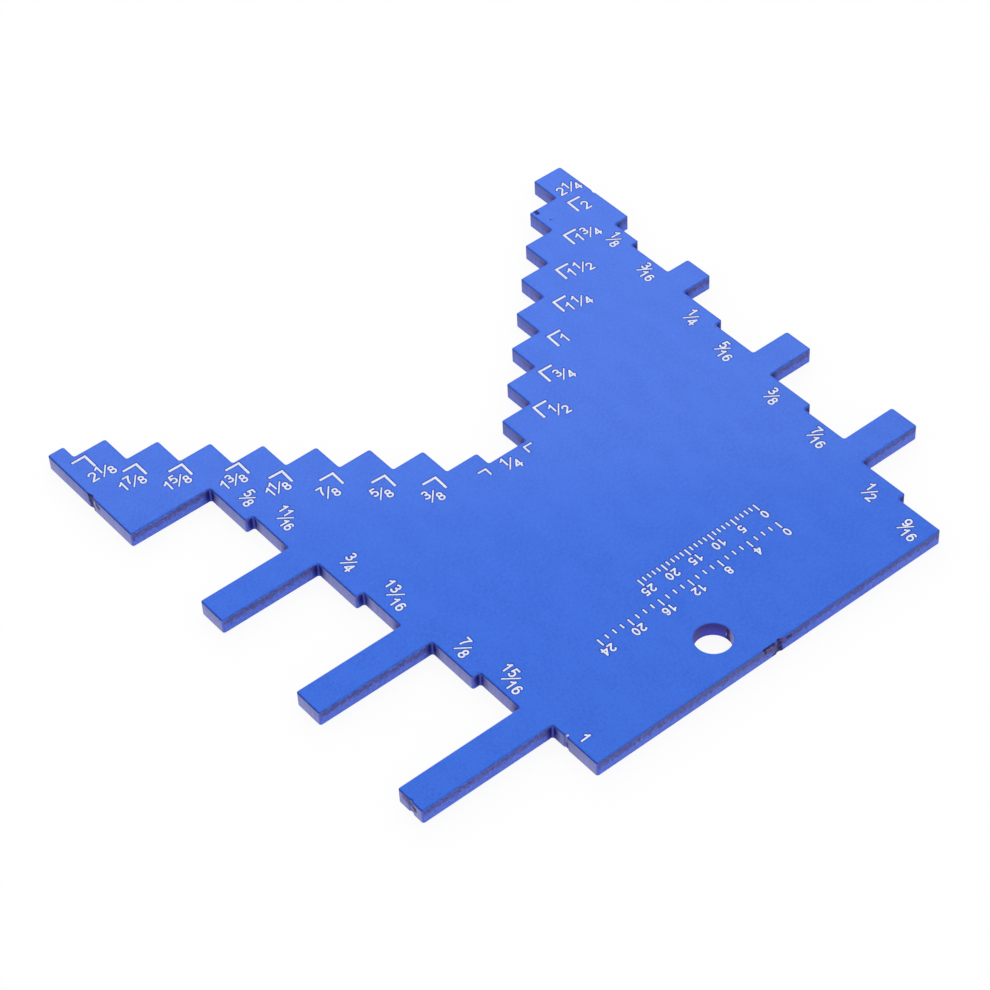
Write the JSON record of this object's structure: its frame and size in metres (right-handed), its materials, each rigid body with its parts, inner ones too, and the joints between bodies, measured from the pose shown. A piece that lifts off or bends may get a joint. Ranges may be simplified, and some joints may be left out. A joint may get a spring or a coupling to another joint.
{
  "type": "depth gauge",
  "caption": "Flat anodised plate gauge with a stair-stepped opening between two wings, stepped gaps between side legs and a hanging hole.",
  "frame": {"origin": "middle of the underside of the plate's box", "axes": "+X along the legs from the left ends (5/8 to 1 in lands) to the right ends (1/8 to 9/16 in lands), +Y from the base edge to the wing tips, +Z out of the numbered face"},
  "size_m": [0.1128, 0.1112, 0.003],
  "materials": {
    "anodised_blue": "satin blue anodised",
    "engraved_white": "white marks on the numbered face"
  },
  "bodies": {
    "root": {"gauge_plate": "anodised_blue"}
  },
  "joints": []
}
